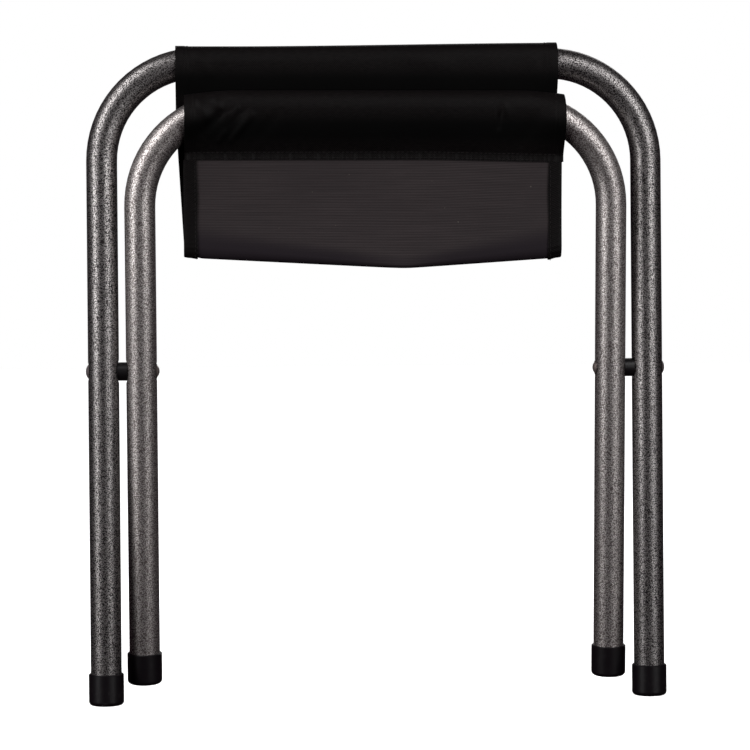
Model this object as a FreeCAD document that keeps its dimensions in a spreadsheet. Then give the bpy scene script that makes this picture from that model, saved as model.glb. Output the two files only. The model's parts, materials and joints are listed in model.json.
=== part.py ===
"""Folding camp stool with a sling seat, folded flat and standing upright.

Two bent tube frames, a wide outer one and a narrow inner one, cross on two rivets. Each frame is a U turned
upside down: two legs, two bends and a top bar. The cloth seat is sewn round both top bars, and when the stool is
folded it hangs between them as a loop. The outer frame stands upright and the inner frame leans by the fold angle.

Frame of the model: X across the stool, Y from the front to the back, Z up, in millimetres. The origin is on the
floor under the middle of the stool. Frame pieces are drawn about the rivet axis and seat pieces about their bar.
"""
import FreeCAD, Part
import math
import os
import Sketcher

V = FreeCAD.Vector
X_AXIS, Y_AXIS, Z_AXIS = V(1, 0, 0), V(0, 1, 0), V(0, 0, 1)
ORIGIN, H_AXIS, V_AXIS = -1, -1, -2  # how a sketch numbers its own origin and axes
START, END, CENTRE = 1, 2, 3  # how a sketch numbers the points of an edge

# The driving dimensions, in millimetres and degrees.
SIZES = [
    ("tube_od", 22.0, "outside diameter of the frame tube"),
    ("tube_wall", 1.2, "wall of the frame tube"),
    ("outer_half_width", 196.0, "centre of the stool to the centre line of an outer leg"),
    ("leg_gap", 5.0, "clear space between an outer leg and the inner leg beside it"),
    ("bend_radius", 70.0, "centre-line radius of the four bends"),
    ("outer_top", 220.0, "rivet axis to the outer top bar, along the leg"),
    ("outer_foot", 238.0, "rivet axis to the sole of an outer foot cap"),
    ("bar_step", 32.5, "how much nearer to the rivet axis the inner top bar is than the outer one"),
    ("foot_step", 12.0, "how much nearer to the rivet axis an inner sole is than an outer one"),
    ("cap_wall", 1.5, "wall of a foot cap round the tube"),
    ("cap_length", 22.5, "length of a foot cap"),
    ("cap_floor", 3.0, "thickness of a foot cap's sole"),
    ("cap_round", 3.0, "radius round the sole of a foot cap"),
    ("cap_lip", 0.6, "chamfer round the mouth of a foot cap"),
    ("shank_od", 6.0, "diameter of a rivet's shank"),
    ("shank_clearance", 0.05, "radial running clearance of a rivet in the tubes"),
    ("head_od", 11.0, "diameter of a rivet's domed head"),
    ("head_height", 2.3, "height of a rivet's domed head"),
    ("tail_od", 8.4, "diameter of a rivet's formed tail"),
    ("tail_height", 1.8, "height of a rivet's formed tail"),
    ("washer_od", 10.6, "outside diameter of the washer under a tail"),
    ("washer_length", 0.8, "thickness of the washer under a tail"),
    ("spacer_od", 13.2, "outside diameter of the spacer between the legs"),
    ("ring_break", 0.3, "chamfer on the edges of spacers and washers"),
    ("ring_clearance", 0.1, "radial clearance of spacers and washers on the shank"),
    ("spacer_dimple", 1.3, "depth of the dimple pressed for a spacer"),
    ("head_dimple", 0.8, "depth of the dimple pressed for a head or a washer"),
    ("dimple_margin", 0.5, "radial room between a dimple's flat and what sits in it"),
    ("dimple_flare", 3.0, "height of the 45 degree flare round a dimple's flat"),
    ("seat_clearance", 0.1, "end clearance between the rivet pieces and the tubes"),
    ("cloth", 0.7, "thickness of one layer of seat cloth"),
    ("sleeve_clearance", 0.3, "radial room between a top bar and its sleeve"),
    ("sleeve_slack", 0.4, "room in a sleeve below a straight bar"),
    ("bend_allowance", 1.2, "room below a bar that bends inside its sleeve, over the drop of its centre line"),
    ("rear_overhang", 11.0, "how far the outer bar's sleeve reaches past each end of the straight bar"),
    ("rear_sleeve_shift", -6.0, "middle of that sleeve, off the middle of the stool"),
    ("front_overhang", 36.5, "how far the inner bar's sleeve reaches past each end of the straight bar"),
    ("front_sleeve_shift", -1.5, "middle of that sleeve, off the middle of the stool"),
    ("panel_inset", 0.5, "how far the seat panel's sides stay inside the inner bar's sleeve"),
    ("panel_shift", -2.5, "middle of the seat panel, off the middle of the stool"),
    ("hem_width", 9.5, "width of a side hem"),
    ("stitch_depth", 31.8, "bar axis to the first row of stitches"),
    ("stitch_pitch", 4.0, "first row of stitches to the second"),
    ("sleeve_depth", 37.3, "bar axis to the sewn edge of a sleeve"),
    ("thread", 0.5, "thickness of the sewing thread"),
    ("thread_inset", 1.2, "inner edge of a side hem to its row of stitches"),
    ("fold_clearance", 0.5, "folded, the cloth of the outer bar to the inner bar's sleeve"),
    ("crease_height", 75.0, "rivet axis to the crease where the folded seat turns up"),
    ("crease_setback", 4.5, "crease to the plane of the outer frame"),
    ("crease_radius", 2.5, "radius of the turn at the crease"),
]

doc = FreeCAD.newDocument("CampStool")
sheet = doc.addObject("Spreadsheet::Sheet", "Dimensions")
for row, (alias, value, meaning) in enumerate(SIZES, start=1):
    sheet.set(f"A{row}", alias)
    sheet.set(f"B{row}", str(value))
    sheet.set(f"C{row}", meaning)
    sheet.setAlias(f"B{row}", alias)
doc.recompute()


def formula(text):
    """The text with every driving dimension's name turned into a reference to its cell in the sheet."""
    names = {alias for alias, _, _ in SIZES}
    out, word = [], ""
    for letter in text + " ":
        if letter.isalnum() or letter == "_":
            word += letter
            continue
        out.append(f"Dimensions.{word}" if word in names else word)
        out.append(letter)
        word = ""
    return "".join(out).strip()


def amount(text):
    """The value of a formula, in millimetres, used only to draw a sketch close to its solution."""
    return float(sheet.evalExpression(formula(text)))


def sleeve_sag(half, middle, width):
    """How deep the straight sides of a sleeve are, so that it clears a bar that bends down inside it.

    half is the frame's half width. past is how far the farther end of the sleeve reaches over the bend.
    """
    past = f"max(0; {width} / 2 + abs({middle}) - ({half} - bend_radius))"
    return f"(sleeve_slack + bend_allowance * (bend_radius - sqrt(bend_radius * bend_radius - {past} * {past})))"


# Lengths that several pieces share, as formulas of the driving dimensions.
TUBE_R = "(tube_od / 2)"
OUTER_HALF = "outer_half_width"
INNER_HALF = "(outer_half_width - tube_od - leg_gap)"
SLEEVE_R = f"({TUBE_R} + sleeve_clearance)"
SLEEVE_REACH = f"({SLEEVE_R} + cloth)"
CAP_R = f"({TUBE_R} + cap_wall)"
INNER_TOP = "(outer_top - bar_step)"
INNER_FOOT = "(outer_foot - foot_step)"
REAR_SLEEVE = f"(2 * ({OUTER_HALF} - bend_radius + rear_overhang))"
FRONT_SLEEVE = f"(2 * ({INNER_HALF} - bend_radius + front_overhang))"
PANEL = f"({FRONT_SLEEVE} - 2 * panel_inset)"
REAR_SAG = sleeve_sag(OUTER_HALF, "rear_sleeve_shift", REAR_SLEEVE)
FRONT_SAG = sleeve_sag(INNER_HALF, "front_sleeve_shift", FRONT_SLEEVE)
# Folding stops where the inner bar's sleeve comes to the cloth that hangs from the outer bar. The closest place is
# where the sleeve's straight sides end: the outer cloth leans in by there, and so does the sleeve.
REAR_LEAN = "((crease_setback - crease_radius) / (outer_top - crease_height))"
REAR_COMES_IN = f"((bar_step + {FRONT_SAG}) * {REAR_LEAN})"
SAG_SHARE = f"({FRONT_SAG} / ({INNER_TOP} - crease_height))"
SLEEVE_ROOM = f"({SLEEVE_REACH} + cloth + fold_clearance + {REAR_COMES_IN})"
BAR_SPREAD = f"(({SLEEVE_ROOM} - {SAG_SHARE} * (crease_setback + crease_radius)) / (1 - {SAG_SHARE}))"
FOLD_ANGLE = f"(asin({BAR_SPREAD} / {INNER_TOP}))"
# The stool's front is the sleeve on the inner bar and its back is an inner foot cap.
FRONT = f"({BAR_SPREAD} + {SLEEVE_REACH})"
BACK = f"(({INNER_FOOT} - cap_round) * sin({FOLD_ANGLE}) + {CAP_R} * cos({FOLD_ANGLE}))"
PIVOT_Y = f"(({FRONT} - {BACK}) / 2)"
PIVOT_Z = "outer_foot"
OUTER_BAR = (PIVOT_Y, f"({PIVOT_Z} + outer_top)")
INNER_BAR = (f"({PIVOT_Y} - {BAR_SPREAD})", f"({PIVOT_Z} + {INNER_TOP} * cos({FOLD_ANGLE}))")
# From each bar the cloth hangs straight to its own side of the crease: how far it goes back, and how far down.
REAR_BACK = "(crease_radius - crease_setback)"
REAR_DOWN = "(outer_top - crease_height)"
FRONT_BACK = f"({BAR_SPREAD} - crease_setback - crease_radius)"
FRONT_DOWN = f"({INNER_TOP} * cos({FOLD_ANGLE}) - crease_height)"
REAR_LENGTH = f"(sqrt({REAR_BACK} * {REAR_BACK} + {REAR_DOWN} * {REAR_DOWN}))"
FRONT_LENGTH = f"(sqrt({FRONT_BACK} * {FRONT_BACK} + {FRONT_DOWN} * {FRONT_DOWN}))"
REAR_HANG = f"(atan({REAR_BACK} / {REAR_DOWN}))"
FRONT_HANG = f"(atan({FRONT_BACK} / {FRONT_DOWN}))"

parts = []  # every finished sub-part, in the order it is made


def bind(thing, **sizes):
    """Binds each named property of a document object to a formula."""
    for name, text in sizes.items():
        thing.setExpression(name, formula(text))
    return thing


def place(thing, axis=Z_AXIS, turn=None, x="0", y="0", z="0"):
    """Puts an object at x, y, z, turned about an axis by a formula in degrees."""
    angle = amount(turn) if turn else 0.0
    thing.Placement = FreeCAD.Placement(V(), FreeCAD.Rotation(axis, angle))
    if turn:
        thing.setExpression(".Placement.Rotation.Angle", formula(turn))
    for letter, text in zip("xyz", (x, y, z)):
        thing.setExpression(f".Placement.Base.{letter}", formula(text))
    return thing


def finish(thing, label):
    """Names a finished sub-part."""
    thing.Label = label
    parts.append(thing)
    return thing


def constrain(sketch, name, text, *constraint):
    """Adds a sized constraint with a name of its own and binds it to a formula."""
    index = sketch.addConstraint(Sketcher.Constraint(*constraint, amount(text)))
    sketch.renameConstraint(index, name + "_size")
    sketch.setExpression(f"Constraints.{name}_size", formula(text))


def relate(sketch, *constraints):
    """Adds constraints that have no size, such as Tangent or Horizontal."""
    for constraint in constraints:
        sketch.addConstraint(Sketcher.Constraint(*constraint))


def body_with_sketch(name, plane):
    """A PartDesign body and an empty sketch on one of its own origin planes."""
    body = doc.addObject("PartDesign::Body", name)
    sketch = body.newObject("Sketcher::SketchObject", name + "_sketch")
    face = next(f for f in body.Origin.OriginFeatures if f.Role == plane)
    sketch.AttachmentSupport = [(face, "")]
    sketch.MapMode = "FlatFace"
    return body, sketch


def outline(sketch, corners):
    """A closed outline of straight edges. Each corner is a pair of formulas, and each gets its two sizes."""
    points = [V(amount(u), amount(v), 0) for u, v in corners]
    first = sketch.GeometryCount
    count = len(points)
    for i in range(count):
        sketch.addGeometry(Part.LineSegment(points[i], points[(i + 1) % count]), False)
    for i in range(count):
        relate(sketch, ("Coincident", first + i, END, first + (i + 1) % count, START))
    for i, (u, v) in enumerate(corners):
        for letter, text, kind, own_axis in (("u", u, "DistanceX", V_AXIS), ("v", v, "DistanceY", H_AXIS)):
            if text == "0":
                relate(sketch, ("PointOnObject", first + i, START, own_axis))
            else:
                constrain(sketch, f"{letter}{first + i}", text, kind, ORIGIN, START, first + i, START)


def revolved(name, sketch, body, axis):
    """Turns a body's sketch through a full turn about one of the sketch's axes."""
    turned = body.newObject("PartDesign::Revolution", name + "_turned")
    turned.Profile = sketch
    turned.ReferenceAxis = (sketch, [axis])
    turned.Angle = 360.0
    return turned


# Frames: a round tube along a path of two legs, two bends and a bar, drawn about the rivet axis.


def frame_path(name, half, top, foot):
    """The centre line of a frame: up one leg, over the bar and down the other leg."""
    path = doc.addObject("Sketcher::SketchObject", name + "_path")
    path.Placement = FreeCAD.Placement(V(), FreeCAD.Rotation(X_AXIS, 90))
    w, t, e, r = (amount(text) for text in (half, top, f"({foot} - cap_floor)", "bend_radius"))
    left, right = V(r - w, t - r, 0), V(w - r, t - r, 0)
    quarter = math.pi / 2
    path.addGeometry(
        [
            Part.LineSegment(V(-w, -e, 0), V(-w, t - r, 0)),
            Part.ArcOfCircle(Part.Circle(left, Z_AXIS, r), quarter, 2 * quarter),
            Part.LineSegment(V(r - w, t, 0), V(w - r, t, 0)),
            Part.ArcOfCircle(Part.Circle(right, Z_AXIS, r), 0, quarter),
            Part.LineSegment(V(w, t - r, 0), V(w, -e, 0)),
        ],
        False,
    )
    relate(
        path,
        ("Tangent", 0, END, 1, END),
        ("Tangent", 1, START, 2, START),
        ("Tangent", 2, END, 3, END),
        ("Tangent", 3, START, 4, START),
        ("Vertical", 0),
        ("Horizontal", 2),
        ("Equal", 1, 3),
        ("Symmetric", 0, START, 4, END, V_AXIS),
    )
    constrain(path, "bend", "bend_radius", "Radius", 1)
    constrain(path, "half", half, "DistanceX", 0, START, ORIGIN, START)
    constrain(path, "bar", top, "DistanceY", ORIGIN, START, 2, START)
    constrain(path, "leg_end", f"({foot} - cap_floor)", "DistanceY", 0, START, ORIGIN, START)
    return path


def swept(name, path, radius, half, foot):
    """A round bar of the given radius along a frame's path."""
    ring = bind(doc.addObject("Part::Circle", name + "_ring"), Radius=radius)
    place(ring, x=f"-{half}", z=f"cap_floor - {foot}")
    bar = doc.addObject("Part::Sweep", name)
    bar.Sections = [ring]
    bar.Spine = (path, [f"Edge{i}" for i in range(1, 6)])
    bar.Solid = True
    bar.Frenet = False
    return bar


def across(name, side, start, outward, kind="Part::Cylinder", **sizes):
    """A cylinder or cone along X that starts at a distance from the middle of the stool.

    side is -1 on the left and 1 on the right, and outward is 1 where it points away from the middle.
    """
    tool = bind(doc.addObject(kind, name), **sizes)
    return place(tool, Y_AXIS, str(90 * side * outward), x=f"{side} * {start}")


def dimple_tools(name, half, outer_side_od, outer_side_depth, inner_side_od, inner_side_depth):
    """What the four dimples of a frame take off its outside, and what they keep of its bore.

    A dimple is a flat with a 45 degree flare round it, pressed in from the crown of the tube. The wall under it
    moves in by the same depth, so the same shape, one wall deeper and one wall wider, stays out of the bore.
    """
    cuts, keeps = [], []
    for side, letter in ((-1, "left"), (1, "right")):
        for outward, seat_od, depth in ((1, outer_side_od, outer_side_depth), (-1, inner_side_od, inner_side_depth)):
            flat = f"({half} + {outward} * ({TUBE_R} - {depth}))"
            radius = f"({seat_od} / 2 + dimple_margin)"
            stem = f"{name}_{letter}_{'out' if outward > 0 else 'in'}"
            cone = dict(Height="dimple_flare", Radius1=radius, Radius2=f"{radius} + dimple_flare")
            cuts.append(across(stem + "_cut", side, flat, outward, "Part::Cone", **cone))
            under = f"({flat} - {outward} * tube_wall)"
            wide = f"({radius} + tube_wall)"
            cone = dict(Height="dimple_flare + tube_wall", Radius1=wide, Radius2=f"{wide} + dimple_flare + tube_wall")
            keeps.append(across(stem + "_keep", side, under, outward, "Part::Cone", **cone))
    return cuts, keeps


def cut(name, base, tools):
    """The base with all the tools taken away."""
    joined = doc.addObject("Part::MultiFuse", name + "_tools")
    joined.Shapes = tools
    result = doc.addObject("Part::Cut", name)
    result.Base = base
    result.Tool = joined
    return result


def frame_tube(label, half, top, foot, lean, outer_side, inner_side):
    """A frame's bent tube, with its dimples and the rivet holes through both legs."""
    path = frame_path(label, half, top, foot)
    cuts, keeps = dimple_tools(label, half, *outer_side, *inner_side)
    skin = cut(label + "_skin", swept(label + "_bar", path, TUBE_R, half, foot), cuts)
    bore_bar = swept(label + "_bore_bar", path, f"{TUBE_R} - tube_wall", half, foot)
    bore = cut(label + "_bore", bore_bar, keeps)
    hollow = doc.addObject("Part::Cut", label + "_hollow")
    hollow.Base = skin
    hollow.Tool = bore
    hole = dict(Radius="shank_od / 2 + shank_clearance", Height="2 * tube_od")
    holes = [across(f"{label}_hole{side}", side, f"({half} - tube_od)", 1, **hole) for side in (-1, 1)]
    tube = cut(label + "_drilled", hollow, holes)
    place(tube, X_AXIS, lean, y=PIVOT_Y, z=PIVOT_Z)
    return finish(tube, label)


def foot_cap(label, side, half, foot, lean):
    """A moulded cap pushed over the end of a leg: a cup with a rounded sole, turned about the leg's axis."""
    body, sketch = body_with_sketch(label, "XZ_Plane")
    radius, sole, top, lip = CAP_R, "cap_round", "cap_length", "cap_lip"
    r, s = amount(radius), amount(sole)
    length, edge, bore, floor = (amount(text) for text in (top, lip, TUBE_R, "cap_floor"))
    points = [
        V(0, 0, 0),
        V(r - s, 0, 0),
        V(r, s, 0),
        V(r, length - edge, 0),
        V(r - edge, length, 0),
        V(bore, length, 0),
        V(bore, floor, 0),
        V(0, floor, 0),
    ]
    for i, point in enumerate(points):
        if i == 1:
            corner = Part.Circle(V(r - s, s, 0), Z_AXIS, s)
            sketch.addGeometry(Part.ArcOfCircle(corner, -math.pi / 2, 0), False)
        else:
            sketch.addGeometry(Part.LineSegment(point, points[(i + 1) % len(points)]), False)
    relate(
        sketch,
        ("Coincident", 0, START, ORIGIN, START),
        ("Tangent", 0, END, 1, START),
        ("Tangent", 1, END, 2, START),
        *[("Coincident", i, END, i + 1, START) for i in range(2, 7)],
        ("Coincident", 7, END, 0, START),
        ("Horizontal", 0),
        ("Vertical", 2),
        ("Horizontal", 4),
        ("Vertical", 5),
        ("Horizontal", 6),
        ("Vertical", 7),
    )
    constrain(sketch, "sole_round", sole, "Radius", 1)
    constrain(sketch, "outside", radius, "DistanceX", ORIGIN, START, 2, END)
    constrain(sketch, "length", top, "DistanceY", ORIGIN, START, 4, START)
    constrain(sketch, "lip_across", lip, "DistanceX", 4, START, 2, END)
    constrain(sketch, "lip_down", lip, "DistanceY", 2, END, 4, START)
    constrain(sketch, "bore", TUBE_R, "DistanceX", ORIGIN, START, 5, START)
    constrain(sketch, "floor", "cap_floor", "DistanceY", ORIGIN, START, 6, START)
    revolved(label, sketch, body, "V_Axis")
    foot_y = f"{PIVOT_Y} + {foot} * sin({lean})"
    foot_z = f"{PIVOT_Z} - {foot} * cos({lean})"
    place(body, X_AXIS, lean, x=f"{side} * {half}", y=foot_y, z=foot_z)
    return finish(body, label)


# Pivots: a rivet through both legs, with a spacer between them and a washer under its formed tail. Each is
# drawn along +X from its outer end, so the left one points to the middle and the right one is turned round.

HEAD_SEAT = f"({OUTER_HALF} + {TUBE_R} - head_dimple + seat_clearance)"
TAIL_SEAT = f"({INNER_HALF} - {TUBE_R} + head_dimple - seat_clearance)"
SPACER_START = f"({OUTER_HALF} - {TUBE_R} + spacer_dimple - seat_clearance)"
SPACER_LENGTH = "(leg_gap + 2 * spacer_dimple - 2 * seat_clearance)"


def on_pivot(body, side, start):
    """Puts a pivot piece at a distance from the middle, on the rivet axis, pointing to the middle."""
    turn = "180" if side > 0 else None
    return place(body, Z_AXIS, turn, x=f"{side} * {start}", y=PIVOT_Y, z=PIVOT_Z)


def rivet(label, side):
    """A rivet: a domed head, a shank through both legs and a domed tail formed against the washer."""
    body, sketch = body_with_sketch(label, "XZ_Plane")
    grip = f"({HEAD_SEAT} - {TAIL_SEAT} + washer_length)"
    head, shank, tail = "head_od / 2", "shank_od / 2", "tail_od / 2"
    g, hr, hh, sr, tr, th = (amount(text) for text in (grip, head, "head_height", shank, tail, "tail_height"))
    head_r, tail_r = (hr * hr + hh * hh) / (2 * hh), (tr * tr + th * th) / (2 * th)
    head_dome = Part.Circle(V(head_r - hh, 0, 0), Z_AXIS, head_r)
    tail_dome = Part.Circle(V(g + th - tail_r, 0, 0), Z_AXIS, tail_r)
    sketch.addGeometry(
        [
            Part.LineSegment(V(-hh, 0, 0), V(g + th, 0, 0)),
            Part.ArcOfCircle(head_dome, math.atan2(hr, hh - head_r), math.pi),
            Part.LineSegment(V(0, hr, 0), V(0, sr, 0)),
            Part.LineSegment(V(0, sr, 0), V(g, sr, 0)),
            Part.LineSegment(V(g, sr, 0), V(g, tr, 0)),
            Part.ArcOfCircle(tail_dome, 0, math.atan2(tr, tail_r - th)),
        ],
        False,
    )
    relate(
        sketch,
        ("Horizontal", 0),
        ("PointOnObject", 0, START, H_AXIS),
        ("Coincident", 0, START, 1, END),
        ("Coincident", 1, START, 2, START),
        ("Coincident", 2, END, 3, START),
        ("Coincident", 3, END, 4, START),
        ("Coincident", 4, END, 5, END),
        ("Coincident", 5, START, 0, END),
        ("PointOnObject", 1, CENTRE, H_AXIS),
        ("PointOnObject", 5, CENTRE, H_AXIS),
        ("Vertical", 2),
        ("Horizontal", 3),
        ("Vertical", 4),
        ("PointOnObject", 2, START, V_AXIS),
    )
    constrain(sketch, "head_height", "head_height", "DistanceX", 0, START, ORIGIN, START)
    constrain(sketch, "head_radius", head, "DistanceY", ORIGIN, START, 2, START)
    constrain(sketch, "shank_radius", shank, "DistanceY", ORIGIN, START, 3, START)
    constrain(sketch, "grip", grip, "DistanceX", ORIGIN, START, 3, END)
    constrain(sketch, "tail_radius", tail, "DistanceY", ORIGIN, START, 4, END)
    constrain(sketch, "tail_height", "tail_height", "DistanceX", 4, END, 0, END)
    revolved(label, sketch, body, "H_Axis")
    return finish(on_pivot(body, side, HEAD_SEAT), label)


def ring(label, side, start, length, outside):
    """A spacer or washer on the rivet's shank: a short tube with its outer edges broken."""
    body, sketch = body_with_sketch(label, "XZ_Plane")
    bore = "(shank_od / 2 + ring_clearance)"
    corners = [
        ("0", bore),
        (length, bore),
        (length, f"({outside} / 2 - ring_break)"),
        (f"({length} - ring_break)", f"({outside} / 2)"),
        ("ring_break", f"({outside} / 2)"),
        ("0", f"({outside} / 2 - ring_break)"),
    ]
    outline(sketch, corners)
    revolved(label, sketch, body, "H_Axis")
    return finish(on_pivot(body, side, start), label)


# Seat: pieces drawn in the plane across their bar, with the bar's axis at the origin and the cloth hanging
# down -Z, then made as long as they are along X and turned to the way that the cloth hangs.

REAR = dict(bar=OUTER_BAR, hang=REAR_HANG, under=1)
FRONT_HALF = dict(bar=INNER_BAR, hang=FRONT_HANG, under=-1)


def hang(thing, half, x="0"):
    """Hangs a seat piece on its bar. half is REAR or FRONT_HALF."""
    y, z = half["bar"]
    return place(thing, X_AXIS, half["hang"], x=x, y=y, z=z)


def extruded(label, body, sketch, half, middle, width):
    """Makes a seat piece's section into a solid along X and hangs it on its bar."""
    pad = body.newObject("PartDesign::Pad", label + "_length")
    pad.Profile = sketch
    bind(pad, Length=width)
    return finish(hang(body, half, f"({middle} - {width} / 2)"), label)


def sleeve(label, half, middle, width, sag):
    """The sleeve sewn round a top bar: a loop of one layer that closes in a flat seam of two.

    The loop is half a circle over the bar, straight sides as deep as the bar drops into its bends, and then
    two arcs and two slanting sides that close at the first row of stitches.
    """
    body, sketch = body_with_sketch(label, "YZ_Plane")
    low, depth, hem = (amount(text) for text in (sag, "stitch_depth", "sleeve_depth"))
    for radius, tip, name in ((SLEEVE_REACH, "cloth", "out"), (SLEEVE_R, "0", "in")):
        r, t = amount(radius), amount(tip)
        lift = math.acos(r / math.hypot(t, depth - low)) - math.atan2(depth - low, t)
        touch = V(r * math.cos(lift), r * math.sin(lift) - low, 0)
        top = Part.Circle(V(0, 0, 0), Z_AXIS, r)
        bottom = Part.Circle(V(0, -low, 0), Z_AXIS, r)
        first = sketch.GeometryCount
        left_side, left_arc, left_slant, right_slant, right_arc, right_side = range(first + 1, first + 7)
        sketch.addGeometry(
            [
                Part.ArcOfCircle(top, 0, math.pi),
                Part.LineSegment(V(-r, 0, 0), V(-r, -low, 0)),
                Part.ArcOfCircle(bottom, math.pi, math.pi - lift),
                Part.LineSegment(V(-touch.x, touch.y, 0), V(-t, -depth, 0)),
                Part.LineSegment(V(t, -depth, 0), touch),
                Part.ArcOfCircle(bottom, lift, 0),
                Part.LineSegment(V(r, -low, 0), V(r, 0, 0)),
            ],
            False,
        )
        relate(
            sketch,
            ("Coincident", first, CENTRE, ORIGIN, START),
            ("Tangent", first, END, left_side, START),
            ("Tangent", left_side, END, left_arc, START),
            ("Tangent", left_arc, END, left_slant, START),
            ("Tangent", right_slant, END, right_arc, START),
            ("Tangent", right_arc, END, right_side, START),
            ("Tangent", right_side, END, first, START),
            ("Vertical", left_side),
            ("Vertical", right_side),
            ("PointOnObject", left_arc, CENTRE, V_AXIS),
            ("Coincident", right_arc, CENTRE, left_arc, CENTRE),
        )
        constrain(sketch, name + "_radius", radius, "Radius", first)
        constrain(sketch, name + "_sag", sag, "DistanceY", left_arc, CENTRE, ORIGIN, START)
        constrain(sketch, name + "_depth", "stitch_depth", "DistanceY", left_slant, END, ORIGIN, START)
        if name == "in":
            relate(
                sketch,
                ("Coincident", left_slant, END, right_slant, START),
                ("PointOnObject", left_slant, END, V_AXIS),
            )
            continue
        sketch.addGeometry(
            [
                Part.LineSegment(V(-t, -depth, 0), V(-t, -hem, 0)),
                Part.LineSegment(V(-t, -hem, 0), V(t, -hem, 0)),
                Part.LineSegment(V(t, -hem, 0), V(t, -depth, 0)),
            ],
            False,
        )
        left_tab, edge, right_tab = range(right_side + 1, right_side + 4)
        relate(
            sketch,
            ("Coincident", left_slant, END, left_tab, START),
            ("Coincident", left_tab, END, edge, START),
            ("Coincident", edge, END, right_tab, START),
            ("Coincident", right_tab, END, right_slant, START),
            ("Vertical", left_tab),
            ("Horizontal", edge),
            ("Vertical", right_tab),
            ("Symmetric", left_slant, END, right_slant, START, V_AXIS),
        )
        constrain(sketch, name + "_tip", tip, "DistanceX", left_slant, END, ORIGIN, START)
        constrain(sketch, name + "_edge", "sleeve_depth", "DistanceY", left_tab, END, ORIGIN, START)
    return extruded(label, body, sketch, half, middle, width)


def strip(label, half, layer, top, bottom, middle, width):
    """A flat piece of one layer of cloth, from one distance below the bar to another.

    layer 0 is the seat panel itself, on the side of the seam that carries the sitter, and layer 1 lies on the
    panel's underside, where the hems and the sleeve's own edge are.
    """
    body, sketch = body_with_sketch(label, "YZ_Plane")
    near = f"{half['under'] * (layer - 1)} * cloth" if layer != 1 else "0"
    far = f"{half['under'] * layer} * cloth" if layer != 0 else "0"
    corners = [(near, f"-{top}"), (far, f"-{top}"), (far, f"-{bottom}"), (near, f"-{bottom}")]
    outline(sketch, corners)
    return extruded(label, body, sketch, half, middle, width)


def thread_row(name, half, x, width, depth, height):
    """One row of sewing thread on the underside of the seam, as a flat bar in its half's own frame."""
    row = bind(doc.addObject("Part::Box", name), Length=width, Width="thread", Height=height)
    y = "cloth" if half["under"] > 0 else "(0 - cloth - thread)"
    return place(row, x=x, y=y, z=f"-{depth}")


def stitching(label, half, rows):
    """Rows of stitches as one node of separate solids, hung on their half's bar."""
    group = doc.addObject("Part::Compound", label)
    group.Links = [thread_row(f"{label}_row{i}", half, *row) for i, row in enumerate(rows)]
    return finish(hang(group, half), label)


def seam_rows(middle, width):
    """The two rows that close a sleeve, each as x, width, depth of its lower edge and height."""
    start = f"({middle} - {width} / 2)"
    return [(start, width, f"(stitch_depth + thread + {i} * stitch_pitch)", "thread") for i in (0, 1)]


def hem_rows(length):
    """The two rows that hold the side hems, just inside each hem's inner edge."""
    inner = f"({PANEL} / 2 - hem_width + thread_inset)"
    height = f"({length} - sleeve_depth)"
    starts = (f"(panel_shift - {inner} - thread)", f"(panel_shift + {inner})")
    return [(start, "thread", length, height) for start in starts]


frame_tube(
    "outer_frame_tube",
    OUTER_HALF,
    "outer_top",
    "outer_foot",
    None,
    ("head_od", "head_dimple"),
    ("spacer_od", "spacer_dimple"),
)
frame_tube(
    "inner_frame_tube",
    INNER_HALF,
    INNER_TOP,
    INNER_FOOT,
    FOLD_ANGLE,
    ("spacer_od", "spacer_dimple"),
    ("washer_od", "head_dimple"),
)
for side, hand in ((-1, "left"), (1, "right")):
    foot_cap(f"outer_{hand}_foot_cap", side, OUTER_HALF, "outer_foot", "0")
    foot_cap(f"inner_{hand}_foot_cap", side, INNER_HALF, INNER_FOOT, FOLD_ANGLE)
    rivet(f"{hand}_pivot_rivet", side)
    ring(f"{hand}_pivot_spacer", side, SPACER_START, SPACER_LENGTH, "spacer_od")
    ring(f"{hand}_tail_washer", side, TAIL_SEAT, "washer_length", "washer_od")

for word, half, width, sag, length in (
    ("rear", REAR, REAR_SLEEVE, REAR_SAG, REAR_LENGTH),
    ("front", FRONT_HALF, FRONT_SLEEVE, FRONT_SAG, FRONT_LENGTH),
):
    middle = f"{word}_sleeve_shift"
    sleeve(f"{word}_sleeve", half, middle, width, sag)
    stitching(f"{word}_seam_stitching", half, seam_rows(middle, width))
    strip(f"{word}_panel", half, 0, "sleeve_depth", length, "panel_shift", PANEL)
    for side, hand in ((-1, "left"), (1, "right")):
        middle = f"(panel_shift + {side} * ({PANEL} - hem_width) / 2)"
        strip(f"{word}_{hand}_hem", half, 1, "sleeve_depth", length, middle, "hem_width")
    stitching(f"{word}_hem_stitching", half, hem_rows(length))

doc.recompute()

for item in doc.Objects:
    if {"Invalid", "Error"} & set(item.State):
        raise RuntimeError(f"{item.Label} failed: {item.State}")
for item in parts:
    if item.Shape.isNull() or not item.Shape.isValid():
        raise RuntimeError(f"{item.Label} has no valid shape")

os.makedirs("parts", exist_ok=True)
for item in parts:
    item.Shape.exportStep(f"parts/{item.Label}.step")
    box = item.Shape.BoundBox
    low, high = (box.XMin, box.YMin, box.ZMin), (box.XMax, box.YMax, box.ZMax)
    corners = " ".join(f"{number:8.2f}" for number in low + high)
    print(f"{item.Label:24s} solids {len(item.Shape.Solids)} volume {item.Shape.Volume:10.1f} box {corners}")
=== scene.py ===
"""The looks of a folding camp stool: two bent tube frames and a sling seat that hangs folded
between their bars.

The frame's own pieces keep their shapes and get their finishes here. The seat is made anew as thin
cloth: a sleeve round each bar, one panel that hangs in a fold between them, a hem down each side of
it, and the stitches.

X runs across the stool, Y from its front to its back and Z up, in metres.
"""
import json
import math

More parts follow.
